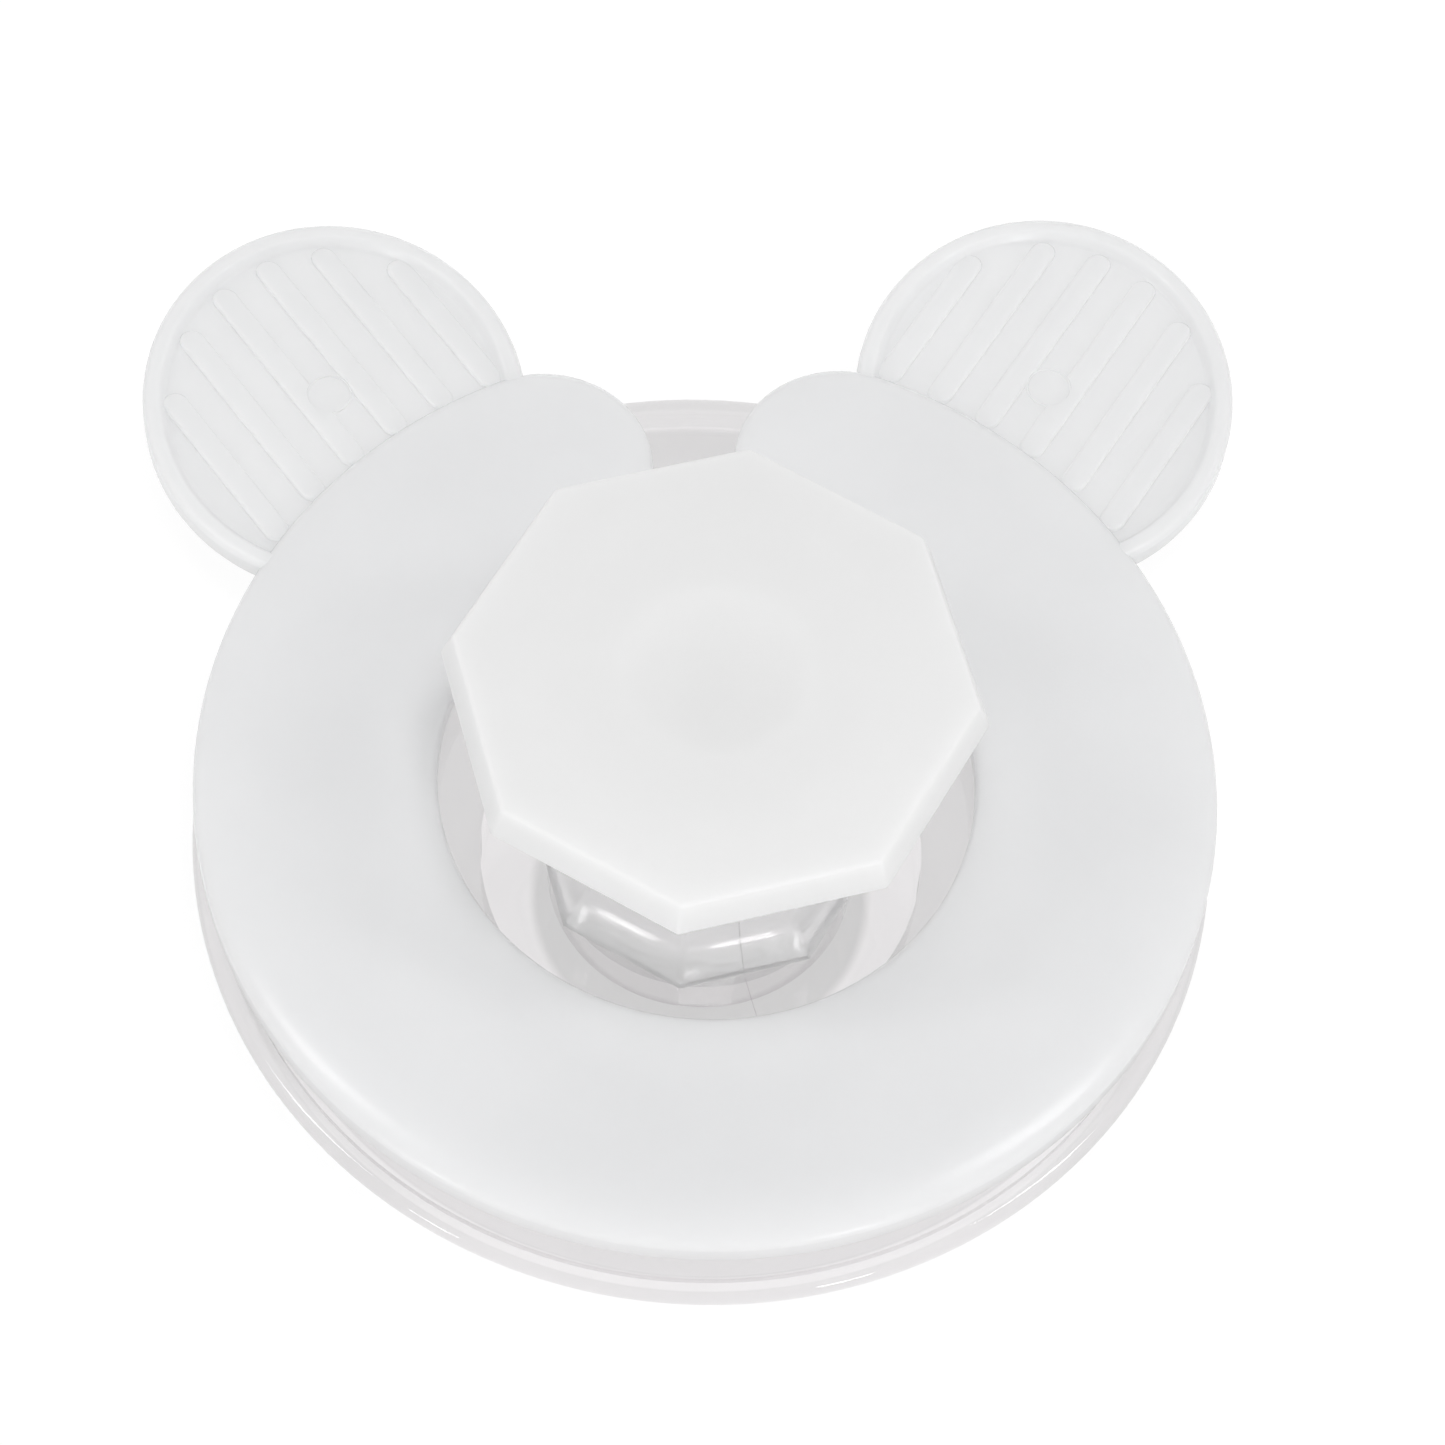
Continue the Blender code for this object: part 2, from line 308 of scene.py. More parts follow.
# Base disc: a turned profile with a round lip, a foot and the neck's blind socket
def make_disc():
    lip_x = DISC_RADIUS - LIP_RADIUS
    wall_x = DISC_RADIUS - 2 * LIP_RADIUS
    floor_corner = (wall_x - FLOOR_ROUNDING, FLOOR_Z + FLOOR_ROUNDING)
    foot_top = (FOOT_RADIUS + FOOT_ROUNDING, FOOT_HEIGHT - FOOT_ROUNDING)
    foot_corner = (FOOT_RADIUS - FOOT_ROUNDING, FOOT_ROUNDING)
    profile = [(0.0, SOCKET_BOTTOM), (SOCKET_RADIUS, SOCKET_BOTTOM), (SOCKET_RADIUS, FLOOR_Z)]
    profile += [(FOOT_RADIUS, FLOOR_Z)]
    profile += arc_points(floor_corner, FLOOR_ROUNDING, -90, 0, 5)
    profile += arc_points((lip_x, LIP_Z), LIP_RADIUS, 180, -50, 18)
    profile += [(DISC_RADIUS - RIM_SLOPE, FOOT_HEIGHT)]
    profile += arc_points(foot_top, FOOT_ROUNDING, 90, 180, 4)
    profile += arc_points(foot_corner, FOOT_ROUNDING, 0, -90, 4)
    profile += [(0.0, 0.0)]
    disc = turn_profile("disc", profile)
    parting = [on_corner(radius, FLOOR_Z, PARTING_CORNER) for radius in PARTING_FLOOR]
    lay_bead(disc, parting, PARTING_BURR, 6, 0.00002)
    smooth(disc, 35)
    return disc


# Neck: an eight-sided cove, waist and cove, stepped up from its foot by extruding and scaling
def cove(end_radius, steps):
    """A hollow flare from the waist out to end_radius: (radius, distance from the end), end first."""
    points = []
    for i in range(steps + 1):
        a = COVE_SWEEP * (1 - i / steps)
        out = (1 - math.cos(a)) / (1 - math.cos(COVE_SWEEP))
        radius = NECK_WAIST_RADIUS + (end_radius - NECK_WAIST_RADIUS) * out
        points.append((radius, COVE_HEIGHT * (1 - math.sin(a) / math.sin(COVE_SWEEP))))
    return points


def eight_sided(name, radius, height):
    """A flat eight-sided face, turned as the head is, in edit mode with the face selected."""
    clear_selection()
    bpy.ops.mesh.primitive_circle_add(vertices=SIDES, radius=radius, fill_type="NGON")
    item = bpy.context.object
    item.name = name
    # A circle's first corner stands on +Y, and the head's corners are counted from +X.
    item.rotation_euler.z = HEAD_TURN - math.pi / 2
    item.location.z = height
    bpy.ops.object.transform_apply(location=True, rotation=True, scale=True)
    edit_mode()
    select_faces()
    return item


def raise_by(height, factor):
    """Extrude the selected face and scale its far end about the neck's axis."""
    draw_to((0, 0, height))
    bpy.ops.transform.resize(value=(factor, factor, 1))


def eight_sided_bar(name, radius, low, high):
    bar = eight_sided(name, radius, low)
    raise_by(high - low, 1.0)
    close_up()
    return bar


def make_neck():
    rise = [(radius, NECK_Z + up) for radius, up in cove(NECK_FOOT_RADIUS, COVE_STEPS)]
    rise += [(radius, NECK_TOP_Z - down) for radius, down in reversed(cove(NECK_TOP_RADIUS, COVE_STEPS))]
    neck = eight_sided("neck", rise[0][0], rise[0][1])
    for before, after in zip(rise, rise[1:]):
        raise_by(after[1] - before[1], after[0] / before[0])
    close_up()
    soften(neck, NECK_ROUNDING, 3, 32)
    tenon = eight_sided_bar("tenon", TENON_RADIUS, NECK_TOP_Z - OVERLAP, TENON_TOP)
    join_by_boolean(neck, tenon, "UNION")
    spigot_top = NECK_Z + SPIGOT_OVERLAP
    spigot = turn_profile("spigot", [
        (0.0, spigot_top), (SPIGOT_RADIUS, spigot_top), (SPIGOT_RADIUS, SPIGOT_LOW + SPIGOT_CHAMFER),
        (SPIGOT_RADIUS - SPIGOT_CHAMFER, SPIGOT_LOW), (0.0, SPIGOT_LOW),
    ], SMALL_ROUND_STEPS)
    join_by_boolean(neck, spigot, "UNION")
    core_low = SPIGOT_LOW - OVERLAP
    core = turn_profile("core", [
        (0.0, CORE_TOP), (CORE_RADIUS - CORE_CHAMFER, CORE_TOP), (CORE_RADIUS, CORE_TOP - CORE_CHAMFER),
        (CORE_RADIUS, core_low), (0.0, core_low),
    ], SMALL_ROUND_STEPS)
    join_by_boolean(neck, core, "DIFFERENCE")
    to_flat = math.cos(math.pi / SIDES)
    parting = [on_corner(radius * to_flat, height, PARTING_CORNER) for radius, height in rise]
    lay_bead(neck, parting, PARTING_BURR, 1, 0.000005)
    crease_radius = NECK_FOOT_RADIUS - CREASE_INSET
    crease = [on_corner(crease_radius, NECK_Z, corner) for corner in range(SIDES + 1)]
    lay_bead(neck, crease, CREASE_BURR, 24, 0.00008)
    smooth(neck, 28)
    return neck


# Head: an eight-sided plate with a soft round dish let into its top and a collar for the neck below
def dish_profile():
    """(radius, height) points from the dish's middle to its rounded brim, which ends level with the top."""
    points = []
    for i in range(DISH_STEPS + 1):
        share = i / DISH_STEPS
        if share < 1 - BRIM_SHARE:
            fall = 1 - share ** 2 / (1 - BRIM_SHARE)
        else:
            fall = (1 - share) ** 2 / BRIM_SHARE
        points.append((DISH_RADIUS * share, HEAD_TOP_Z - DISH_DEPTH * fall))
    return points


def take_off_top(head):
    """Delete the head's flat top face."""
    pick(head)
    edit_mode()
    bpy.ops.mesh.select_mode(type="FACE")
    bpy.ops.mesh.select_all(action="DESELECT")
    object_mode()
    for face in head.data.polygons:
        face.select = face.normal.z > 0.999 and abs(face.center.z - HEAD_TOP_Z) < 0.00002
    edit_mode()
    bpy.ops.mesh.delete(type="FACE")
    object_mode()


def make_head():
    head = eight_sided("head", HEAD_RADIUS, HEAD_Z)
    raise_by(HEAD_TOP_Z - HEAD_Z, HEAD_TOP_RADIUS / HEAD_RADIUS)
    close_up()
    soften(head, HEAD_ROUNDING, 3, 20)
    collar = eight_sided_bar("collar", COLLAR_RADIUS, COLLAR_Z, HEAD_Z + COLLAR_OVERLAP)
    join_by_boolean(head, collar, "UNION")
    socket = eight_sided_bar("socket", HEAD_SOCKET_RADIUS, COLLAR_Z - OVERLAP, SOCKET_TOP)
    join_by_boolean(head, socket, "DIFFERENCE")

    # The dish takes the place of the flat top and is bridged to the head's edge.
    take_off_top(head)
    dish = turn_profile("dish", dish_profile(), SMALL_ROUND_STEPS)
    pick(head)
    dish.select_set(True)
    bpy.ops.object.join()
    edit_mode()
    bpy.ops.mesh.select_mode(type="EDGE")
    bpy.ops.mesh.select_all(action="DESELECT")
    bpy.ops.mesh.select_non_manifold(extend=False, use_wire=False, use_boundary=True,
                                     use_multi_face=False, use_non_contiguous=False, use_verts=False)
    bpy.ops.mesh.bridge_edge_loops()
    close_up()
    smooth(head, 30)
    return head


# Split ring: the outline is spun from one point round each of its centres, then raised and crowned by insets
def spin_point(centre, angle, steps):
    """Sweep the selected point round a centre, anticlockwise for a positive angle."""
    bpy.ops.mesh.spin(steps=steps, angle=-angle, center=centre, axis=(0, 0, 1))


def make_hoop():
    outer = Vector((HALF_GAP + HORN_OUTER_FILLET, 0, 0))
    outer.y = math.sqrt((RING_RADIUS - HORN_OUTER_FILLET) ** 2 - outer.x ** 2)
    inner = Vector((HALF_GAP + HORN_INNER_FILLET, 0, 0))
    inner.y = math.sqrt((HOLE_RADIUS + HORN_INNER_FILLET) ** 2 - inner.x ** 2)
    outer_turn = math.atan2(outer.y, outer.x)
    inner_turn = math.atan2(inner.y, inner.x)
    first = outer.normalized() * RING_RADIUS
    middle = RING_PLACE
    flip = Vector((-1, 1, 1))
    outer_steps, inner_steps = 22, 14
    hole_steps, rim_steps = 150, 220

    hoop = start_point("ring", middle + first)
    spin_point(middle + outer, math.pi - outer_turn, outer_steps)
    draw_to((0, inner.y - outer.y, 0))
    spin_point(middle + inner, inner_turn, inner_steps)
    spin_point(middle, -math.pi - 2 * inner_turn, hole_steps)
    spin_point(middle + inner * flip, inner_turn, inner_steps)
    draw_to((0, outer.y - inner.y, 0))
    spin_point(middle + outer * flip, math.pi - outer_turn, outer_steps)
    spin_point(middle, math.pi + 2 * outer_turn, rim_steps)
    fill_outline()
    draw_to((0, 0, RING_EDGE))
    round_over(CROWN_WIDTH, RING_THICKNESS - RING_EDGE, CROWN_STEPS)
    close_up()
    return hoop


# Finger tabs: an oval with a rounded border, a sunk pocket and low ribs
def tab_axes(side):
    """The tab's centre from the ring's, and the directions along and across its oval."""
    centre = Vector((side * TAB_REACH * math.sin(TAB_SPREAD), TAB_REACH * math.cos(TAB_SPREAD), 0))
    along = Vector((side * math.sin(TAB_TURN), math.cos(TAB_TURN), 0))
    across = Vector((along.y, -along.x, 0))
    return centre, along, across


def make_tab(side):
    centre = tab_axes(side)[0]
    clear_selection()
    bpy.ops.mesh.primitive_circle_add(vertices=TAB_SIDES, radius=0.5, fill_type="NGON")
    tab = bpy.context.object
    tab.name = "tab"
    tab.scale = (TAB_WIDTH, TAB_LENGTH, 1)
    tab.rotation_euler.z = -side * TAB_TURN
    tab.location = RING_PLACE + centre + Vector((0, 0, TAB_LIFT))
    bpy.ops.object.transform_apply(location=True, rotation=True, scale=True)
    edit_mode()
    select_faces()
    draw_to((0, 0, TAB_EDGE - TAB_SHOULDER))
    round_over(TAB_SHOULDER, TAB_SHOULDER, TAB_STEPS)
    bpy.ops.mesh.inset(thickness=TAB_BORDER - TAB_SHOULDER - POCKET_SLOPE, depth=0)
    fall = TAB_EDGE - TAB_FLOOR
    for i in range(TAB_STEPS):
        a = i / TAB_STEPS
        b = (i + 1) / TAB_STEPS
        drop = 0.5 * (math.cos(math.pi * a) - math.cos(math.pi * b))
        bpy.ops.mesh.inset(thickness=POCKET_SLOPE / TAB_STEPS, depth=0)
        bpy.ops.transform.translate(value=(0, 0, -fall * drop))
    close_up()
    return tab


def rib_span(side, offset):
    """Where a rib line, offset sideways from the tab's centre, meets the pocket's oval: (start, end)."""
    _, along, across = tab_axes(side)
    run = Vector((side * math.sin(RIB_ANGLE), math.cos(RIB_ANGLE), 0))
    step = Vector((run.y, -run.x, 0)) * offset
    long_half = TAB_LENGTH / 2 - TAB_BORDER
    wide_half = TAB_WIDTH / 2 - TAB_BORDER
    run_u, run_v = run.dot(along) / long_half, run.dot(across) / wide_half
    step_u, step_v = step.dot(along) / long_half, step.dot(across) / wide_half
    a = run_u ** 2 + run_v ** 2
    b = run_u * step_u + run_v * step_v
    c = step_u ** 2 + step_v ** 2 - 1
    root = math.sqrt(max(0.0, b * b - a * c))
    return (-b - root) / a, (-b + root) / a


def ring_edge_on(side, offset):
    """How far along a rib line the ring's round edge is met, or None where the line passes it by."""
    centre = tab_axes(side)[0]
    run = Vector((side * math.sin(RIB_ANGLE), math.cos(RIB_ANGLE), 0))
    foot = centre + Vector((run.y, -run.x, 0)) * offset
    square = foot.dot(run) ** 2 - foot.length_squared + RING_RADIUS ** 2
    if square < 0:
        return None
    return math.sqrt(square) - foot.dot(run)


def make_rib(side, number):
    """One low bar with round ends, highest along its outer edge and leaning down to the inner one."""
    offset = side * ((number - (RIB_COUNT - 1) / 2) * RIB_PITCH + RIB_SHIFT)
    half = RIB_WIDTH / 2
    start, end = rib_span(side, offset)
    met = ring_edge_on(side, offset)
    if met is not None:
        start = max(start, met - RIB_IN_RING)
    rib = start_point("rib", (half, end - half, 0))
    spin_point((0, end - half, 0), math.pi, RIB_END_STEPS)
    draw_to((0, start - end + RIB_WIDTH, 0))
    spin_point((0, start + half, 0), math.pi, RIB_END_STEPS)
    draw_to((0, end - start - RIB_WIDTH, 0))
    fill_outline()
    draw_to((0, 0, RIB_HEIGHT + RIB_SUNK))
    outer_edge = (side * half, 0, RIB_HEIGHT + RIB_SUNK)
    bpy.ops.transform.rotate(value=side * RIB_LEAN, orient_axis="Y", center_override=outer_edge)
    close_up()
    soften(rib, RIB_ROUNDING, 4, 30)
    turn = Matrix.Rotation(-side * RIB_ANGLE, 3, "Z")
    rib.rotation_euler.z = -side * RIB_ANGLE
    base = Vector((0, 0, TAB_LIFT + TAB_FLOOR - RIB_SUNK))
    rib.location = RING_PLACE + tab_axes(side)[0] + base + turn @ Vector((offset, 0, 0))
    pick(rib)
    bpy.ops.object.transform_apply(location=True, rotation=True, scale=True)
    return rib


def stamp_mark(tab, side):
    """The flat left by an ejector pin, level with the pocket, with a fine burr round it."""
    level = Vector((side * MARK_OUT, MARK_BACK, TAB_LIFT + TAB_FLOOR))
    place = RING_PLACE + tab_axes(side)[0] + level
    clear_selection()
    bpy.ops.mesh.primitive_cylinder_add(vertices=MARK_SIDES, radius=MARK_RADIUS, depth=MARK_CUTTER,
                                        location=place + Vector((0, 0, MARK_CUTTER / 2 - MARK_DEPTH)))
    join_by_boolean(tab, bpy.context.object, "DIFFERENCE")
    clear_selection()
    bpy.ops.mesh.primitive_torus_add(major_segments=MARK_SIDES, minor_segments=8,
                                     major_radius=MARK_RADIUS, minor_radius=MARK_BURR, location=place)
    join_by_boolean(tab, bpy.context.object, "UNION")


def make_ring():
    ring = make_hoop()
    for side in (-1, 1):
        tab = make_tab(side)
        for number in range(RIB_COUNT):
            join_by_boolean(tab, make_rib(side, number), "UNION")
        stamp_mark(tab, side)
        join_by_boolean(ring, tab, "UNION")
    smooth(ring, 32)
    return ring


# Finishes
# A mix node's sockets share their names, so they are found by number.
MIX_COLOUR_A, MIX_COLOUR_B, MIX_COLOUR_OUT = 6, 7, 2
MIX_VALUE_A, MIX_VALUE_B, MIX_VALUE_OUT = 2, 3, 0


def new_material(name):
    material = bpy.data.materials.new(name)
    material.use_nodes = True
    nodes = material.node_tree.nodes
    return material, nodes, material.node_tree.links, nodes["Principled BSDF"]


def set_inputs(node, values):
    for socket, value in values.items():
        node.inputs[socket].default_value = value


def add_node(nodes, kind, **values):
    """Add a node and set its sockets, or its own settings, by name."""
    node = nodes.new(kind)
    for key, value in values.items():
        if key in node.inputs:
            node.inputs[key].default_value = value
        else:
            setattr(node, key, value)
    return node


def mottled_colour(nodes, links, shader, low, high):
    """A slow cloudiness in the plastic, between two close colours."""
    place = add_node(nodes, "ShaderNodeTexCoord")
    cloud = add_node(nodes, "ShaderNodeTexNoise", Scale=70.0, Detail=4.0, Roughness=0.6)
    ramp = add_node(nodes, "ShaderNodeValToRGB")
    for element, position, colour in zip(ramp.color_ramp.elements, (0.3, 0.7), (low, high)):
        element.position = position
        element.color = (*colour, 1)
    links.new(place.outputs["Object"], cloud.inputs["Vector"])
    links.new(cloud.outputs["Fac"], ramp.inputs["Fac"])
    links.new(ramp.outputs["Color"], shader.inputs["Base Color"])
    return place


def frosted(name, low, high, roughness, depth):
    """Translucent plastic with a fine grain. Light spreads through it to about the depth given."""
    material, nodes, links, shader = new_material(name)
    place = mottled_colour(nodes, links, shader, low, high)
    set_inputs(shader, {
        "Roughness": roughness,
        "IOR": 1.49,
        "Subsurface Weight": 1.0,
        "Subsurface Radius": (1.0, 1.0, 1.0),
        "Subsurface Scale": depth,
    })
    grain = add_node(nodes, "ShaderNodeTexNoise", Scale=5200.0, Detail=2.0)
    bump = add_node(nodes, "ShaderNodeBump", Strength=0.12, Distance=0.00005)
    links.new(place.outputs["Object"], grain.inputs["Vector"])
    links.new(grain.outputs["Fac"], bump.inputs["Height"])
    links.new(bump.outputs["Normal"], shader.inputs["Normal"])
    return material


def clear(name, colour, roughness, transmission, bending):
    """Glossy clear plastic with a slightly uneven polish."""
    material, nodes, links, shader = new_material(name)
    place = add_node(nodes, "ShaderNodeTexCoord")
    set_inputs(shader, {
        "Base Color": (*colour, 1),
        "Coat Weight": 1.0,
        "Coat Roughness": 0.04,
        "IOR": bending,
        "Transmission Weight": transmission,
    })
    smear = add_node(nodes, "ShaderNodeTexNoise", Scale=160.0, Detail=3.0)
    spread = add_node(nodes, "ShaderNodeMapRange")
    set_inputs(spread, {"To Min": roughness * 0.7, "To Max": roughness * 1.3})
    links.new(place.outputs["Object"], smear.inputs["Vector"])
    links.new(smear.outputs["Fac"], spread.inputs["Value"])
    links.new(spread.outputs["Result"], shader.inputs["Roughness"])
    return material


def mask(nodes, links, source, zero_at, one_at):
    """A soft step from zero to one between two values of a coordinate."""
    step = add_node(nodes, "ShaderNodeMapRange", interpolation_type="SMOOTHSTEP")
    set_inputs(step, {"From Min": zero_at, "From Max": one_at})
    links.new(source, step.inputs["Value"])
    return step.outputs["Result"]


def both(nodes, links, first, second):
    """Where two masks overlap."""
    product = add_node(nodes, "ShaderNodeMath", operation="MULTIPLY")
    links.new(first, product.inputs[0])
    links.new(second, product.inputs[1])
    return product.outputs["Value"]


def tint_where(nodes, links, share, before, colour):
    """Blend from the colours so far to one more colour, by a mask."""
    mix = add_node(nodes, "ShaderNodeMix", data_type="RGBA")
    links.new(share, mix.inputs["Factor"])
    if isinstance(before, tuple):
        mix.inputs[MIX_COLOUR_A].default_value = (*before, 1)
    else:
        links.new(before, mix.inputs[MIX_COLOUR_A])
    mix.inputs[MIX_COLOUR_B].default_value = (*colour, 1)
    return mix.outputs[MIX_COLOUR_OUT]


def paint_light_and_shade_on_disc(material, plain):
    """Painted shade and light on the disc: a greyer lip and a greyer underside as painted shade, both paler
    towards the front, away from the tabs, as painted light, and a dark spot under the neck as a painted
    shadow.
    """
    nodes = material.node_tree.nodes
    links = material.node_tree.links
    place = add_node(nodes, "ShaderNodeTexCoord")
    split = add_node(nodes, "ShaderNodeSeparateXYZ")
    flat = add_node(nodes, "ShaderNodeCombineXYZ")
    shifted = add_node(nodes, "ShaderNodeVectorMath", operation="ADD")
    shifted.inputs[1].default_value = (0, SHADOW_SPOT_FORWARD, 0)
    from_axis = add_node(nodes, "ShaderNodeVectorMath", operation="LENGTH")
    from_shadow_spot = add_node(nodes, "ShaderNodeVectorMath", operation="LENGTH")
    links.new(place.outputs["Object"], split.inputs["Vector"])
    links.new(split.outputs["X"], flat.inputs["X"])
    links.new(split.outputs["Y"], flat.inputs["Y"])
    links.new(flat.outputs["Vector"], from_axis.inputs[0])
    links.new(flat.outputs["Vector"], shifted.inputs[0])
    links.new(shifted.outputs["Vector"], from_shadow_spot.inputs[0])
    radius = from_axis.outputs["Value"]
    shadow_spot_distance = from_shadow_spot.outputs["Value"]
    depth = split.outputs["Y"]
    height = split.outputs["Z"]

    # Where the painted light and shade go: the front of the disc, its lip, its underside and the bottom
    # under the neck.
    lit_front = mask(nodes, links, depth, -0.012, -0.030)
    lit_nose = mask(nodes, links, depth, -0.028, -0.037)
    above = mask(nodes, links, height, FOOT_HEIGHT - 0.0004, FOOT_HEIGHT - 0.0002)
    below = mask(nodes, links, height, FLOOR_Z - 0.0004, FLOOR_Z - 0.0007)
    shaded_underside = both(nodes, links, above, below)
    lit_front_underside = both(nodes, links, shaded_underside, lit_front)
    slope = mask(nodes, links, height, FOOT_HEIGHT + 0.0001, FOOT_HEIGHT + 0.0003)
    lip = mask(nodes, links, height, FLOOR_Z + 0.0003, FLOOR_Z + 0.0006)
    low = mask(nodes, links, height, 0.0008, 0.0004)
    shadow_spot = mask(nodes, links, shadow_spot_distance, SHADOW_SPOT_RADIUS + 0.0005, SHADOW_SPOT_RADIUS - 0.0005)
    shadow_spot_middle = mask(nodes, links, radius, SOCKET_RADIUS - 0.0004, SOCKET_RADIUS - 0.0010)
    # Painted shade and light, in order: a grey underside as painted shade, paler at the front as painted
    # light and paler still on the front slope, a grey lip as painted shade with a paler front, then a dark
    # painted shadow spot under the neck with a less dark middle.
    painted_shades = [
        (shaded_underside, (0.575, 0.570, 0.573)),
        (lit_front_underside, (0.76, 0.745, 0.752)),
        (both(nodes, links, slope, lit_front_underside), (0.98, 0.965, 0.972)),
        (lip, (0.72, 0.71, 0.715)),
        (both(nodes, links, lip, lit_nose), (0.86, 0.845, 0.852)),
        (both(nodes, links, shadow_spot, low), (0.51, 0.51, 0.51)),
        (both(nodes, links, shadow_spot_middle, low), (0.74, 0.74, 0.74)),
    ]
    colour = plain
    for share, shade in painted_shades:
        colour = tint_where(nodes, links, share, colour, shade)
    links.new(colour, nodes["Principled BSDF"].inputs["Base Color"])


DISC_COLOUR = (0.82, 0.806, 0.813)
# The disc's own tint, with painted shade and painted light laid over it by the next line.
CLEAR_DISC = clear("clear_disc", DISC_COLOUR, 0.15, 1.0, 1.005)
paint_light_and_shade_on_disc(CLEAR_DISC, DISC_COLOUR)
CLEAR_NECK = clear("clear_neck", (0.98, 0.98, 0.98), 0.09, 0.70, 1.55)
FROSTED_HEAD = frosted("frosted_head", (0.820, 0.820, 0.820), (0.835, 0.835, 0.835), 0.50, 0.0018)
FROSTED_RING = frosted("frosted_ring", (0.787, 0.790, 0.796), (0.805, 0.808, 0.814), 0.24, 0.0030)

finish_piece(make_disc(), "spool", "base_disc", CLEAR_DISC)
finish_piece(make_neck(), "spool", "neck_post", CLEAR_NECK)
finish_piece(make_head(), "spool", "head_plate", FROSTED_HEAD)
finish_piece(make_ring(), "ring", "clip_ring", FROSTED_RING)


# Pale floor, even white surroundings and six soft boxes
FLOOR_COLOUR = (0.12, 0.12, 0.12)
FLOOR_DROP = 0.0002
FLOOR_GLOW = 0.64
FLOOR_GLOW_SEEN = 0.91
HORIZON_LIGHT = 1.02
ZENITH_LIGHT = 0.06
LAMP_AIM = Vector((0, 0, 0.01))
# Name, place, width, height, watts, and whether it shows in a gloss
LAMPS = [
    ("left_soft_box", (-0.42, -0.02, 0.62), 0.09, 0.26, 0.50, True),
    ("right_soft_box", (0.42, -0.10, 0.66), 0.09, 0.26, 0.60, True),
    ("top_soft_box", (0.03, -0.20, 0.80), 0.22, 0.22, 2.36, False),
    ("back_soft_box", (0.00, 0.50, 0.45), 0.50, 0.30, 0.46, False),
    ("low_left_box", (-0.41, -0.41, 0.18), 0.09, 0.09, 0.22, True),
    ("low_right_box", (0.22, -0.53, 0.19), 0.09, 0.09, 0.30, True),
]


def seen_directly(nodes, links):
    """One where a surface is seen straight, in a gloss or through clear plastic, and zero elsewhere."""
    rays = add_node(nodes, "ShaderNodeLightPath")
    total = rays.outputs["Is Camera Ray"]
    for kind in ("Is Glossy Ray", "Is Transmission Ray"):
        either = add_node(nodes, "ShaderNodeMath", operation="MAXIMUM")
        links.new(total, either.inputs[0])
        links.new(rays.outputs[kind], either.inputs[1])
        total = either.outputs["Value"]
    return total


def make_floor():
    clear_selection()
    bpy.ops.mesh.primitive_plane_add(size=6.0, location=(0, 0, -FLOOR_DROP))
    floor = bpy.context.object
    floor.name = "studio_floor"
    material, nodes, links, shader = new_material("studio_white")
    set_inputs(shader, {
        "Base Color": (*FLOOR_COLOUR, 1),
        "Roughness": 1.0,
        "Specular IOR Level": 0.0,
        "Emission Color": (1, 1, 1, 1),
    })
    seen = seen_directly(nodes, links)
    level = add_node(nodes, "ShaderNodeMapRange")
    set_inputs(level, {"To Min": FLOOR_GLOW, "To Max": FLOOR_GLOW_SEEN})
    links.new(seen, level.inputs["Value"])
    links.new(level.outputs["Result"], shader.inputs["Emission Strength"])
    floor.data.materials.append(material)


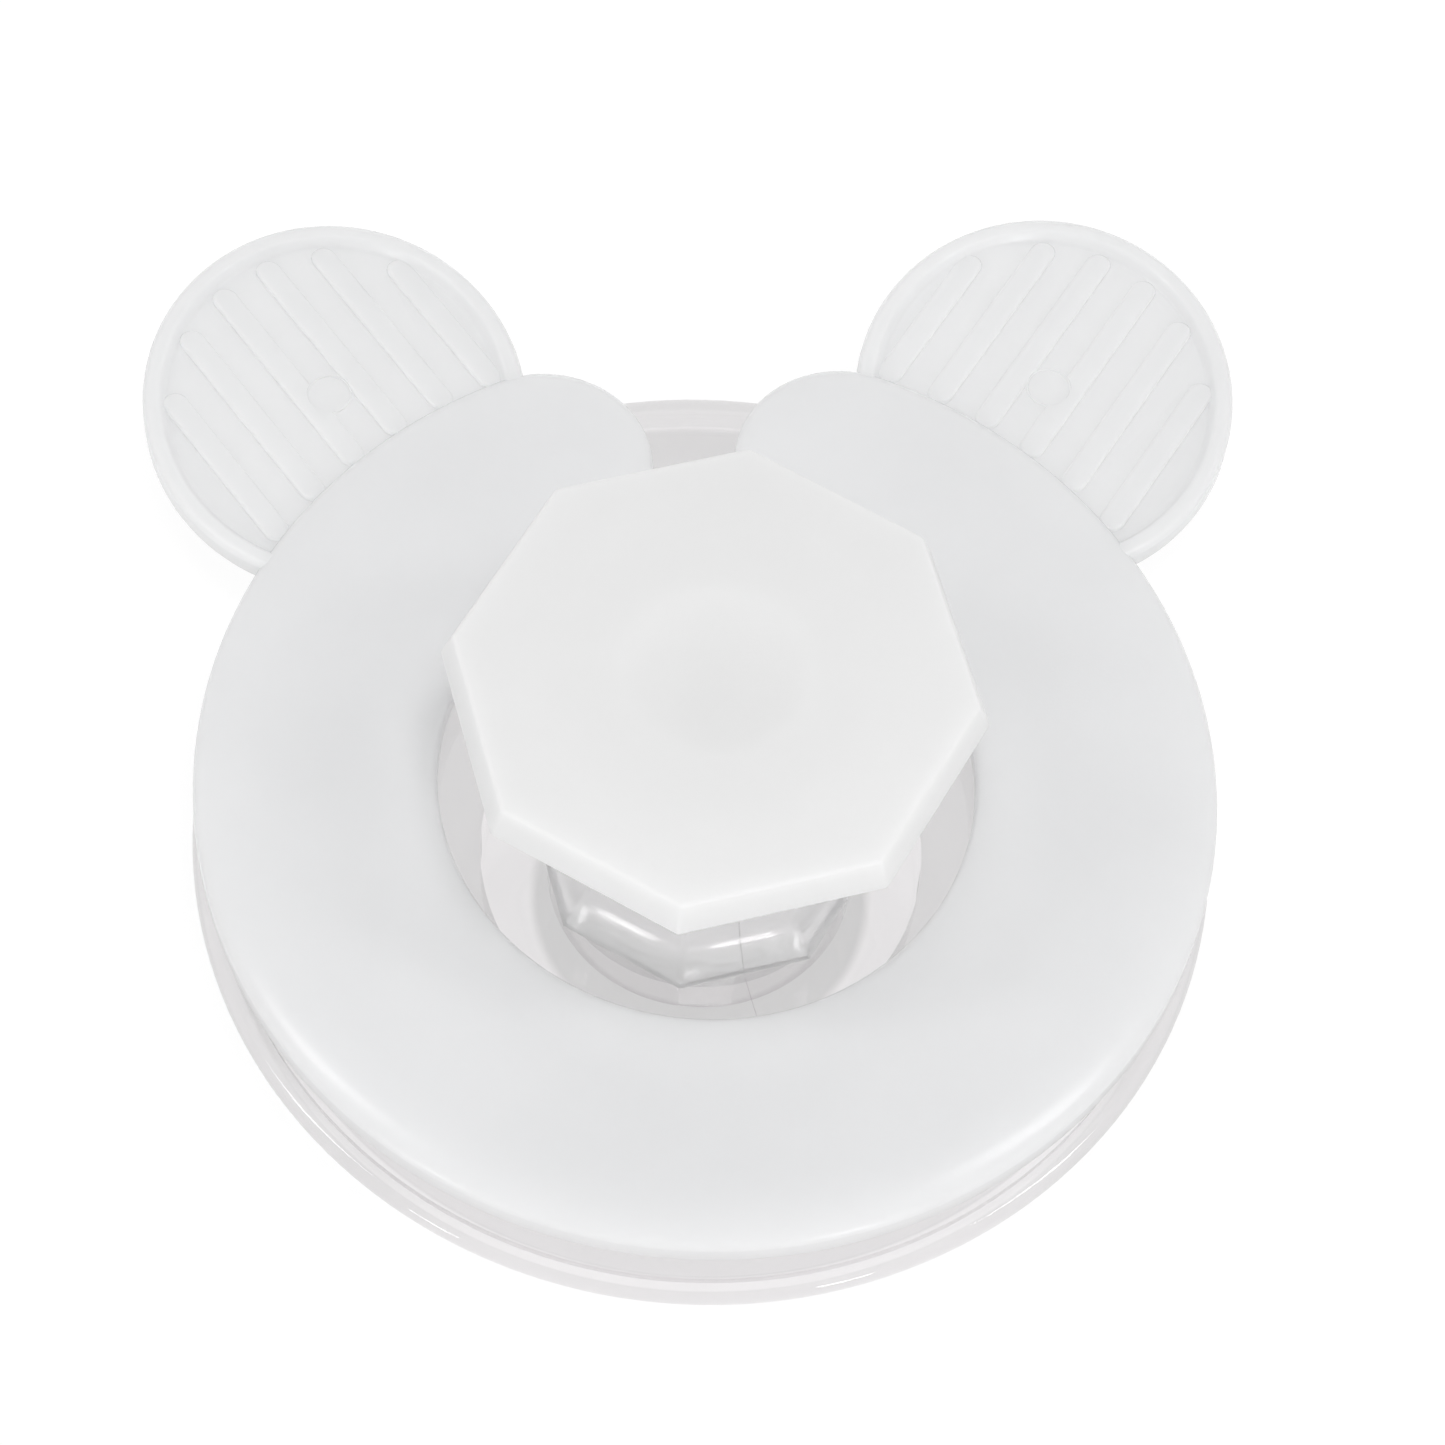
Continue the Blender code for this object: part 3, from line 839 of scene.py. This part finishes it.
def make_world():
    world = bpy.data.worlds.new("studio")
    world.use_nodes = True
    nodes = world.node_tree.nodes
    links = world.node_tree.links
    backdrop = nodes["Background"]
    backdrop.inputs["Color"].default_value = (1, 1, 1, 1)
    place = add_node(nodes, "ShaderNodeTexCoord")
    split = add_node(nodes, "ShaderNodeSeparateXYZ")
    level = add_node(nodes, "ShaderNodeMapRange")
    set_inputs(level, {"To Min": HORIZON_LIGHT, "To Max": ZENITH_LIGHT})
    white = add_node(nodes, "ShaderNodeMix", data_type="FLOAT")
    white.inputs[MIX_VALUE_B].default_value = 1.0
    links.new(place.outputs["Generated"], split.inputs["Vector"])
    links.new(split.outputs["Z"], level.inputs["Value"])
    links.new(seen_directly(nodes, links), white.inputs["Factor"])
    links.new(level.outputs["Result"], white.inputs[MIX_VALUE_A])
    links.new(white.outputs[MIX_VALUE_OUT], backdrop.inputs["Strength"])
    bpy.context.scene.world = world


def soft_box(name, place, width, height, power, mirrored):
    lamp = bpy.data.lights.new(name, "AREA")
    lamp.shape = "RECTANGLE"
    lamp.size = width
    lamp.size_y = height
    lamp.energy = power
    box = bpy.data.objects.new(name, lamp)
    bpy.context.scene.collection.objects.link(box)
    box.location = place
    box.visible_camera = False
    box.visible_glossy = mirrored
    aim = LAMP_AIM - Vector(place)
    box.rotation_euler = aim.to_track_quat("-Z", "Y").to_euler()


make_floor()
make_world()
for lamp_setting in LAMPS:
    soft_box(*lamp_setting)


# Camera at the photograph's place: looking down towards the tabs from the far side, with a slight roll
CAMERA_ELEVATION = math.radians(60.91)
CAMERA_ROLL = math.radians(5.03)
CAMERA_SWING = math.radians(-6.65)
CAMERA_DISTANCE = 0.360
CAMERA_RIGHT = 0.00081
CAMERA_UP = 0.00846
HALF_PICTURE = 722.5
FOCAL_LENGTH = 4572.5  # in pixels of the photograph, as the half picture is


def make_camera():
    lens = bpy.data.cameras.new("camera")
    camera = bpy.data.objects.new("camera", lens)
    bpy.context.scene.collection.objects.link(camera)
    swing = Matrix.Rotation(CAMERA_SWING, 3, "Z")
    forward = Vector((0, math.cos(CAMERA_ELEVATION), -math.sin(CAMERA_ELEVATION)))
    right = Vector((1, 0, 0))
    up = right.cross(forward)
    place = -forward * CAMERA_DISTANCE + right * CAMERA_RIGHT + up * CAMERA_UP
    tilted_right = right * math.cos(CAMERA_ROLL) + up * math.sin(CAMERA_ROLL)
    tilted_up = up * math.cos(CAMERA_ROLL) - right * math.sin(CAMERA_ROLL)
    columns = [swing @ tilted_right, swing @ tilted_up, -(swing @ forward)]
    camera.matrix_world = Matrix(columns).transposed().to_4x4()
    camera.location = swing @ place + Vector((0, 0, LIP_Z))
    lens.sensor_width = 36.0
    lens.angle = 2 * math.atan(HALF_PICTURE / FOCAL_LENGTH)
    lens.clip_start = 0.01
    bpy.context.scene.camera = camera


make_camera()
bpy.context.scene.view_settings.view_transform = "Standard"
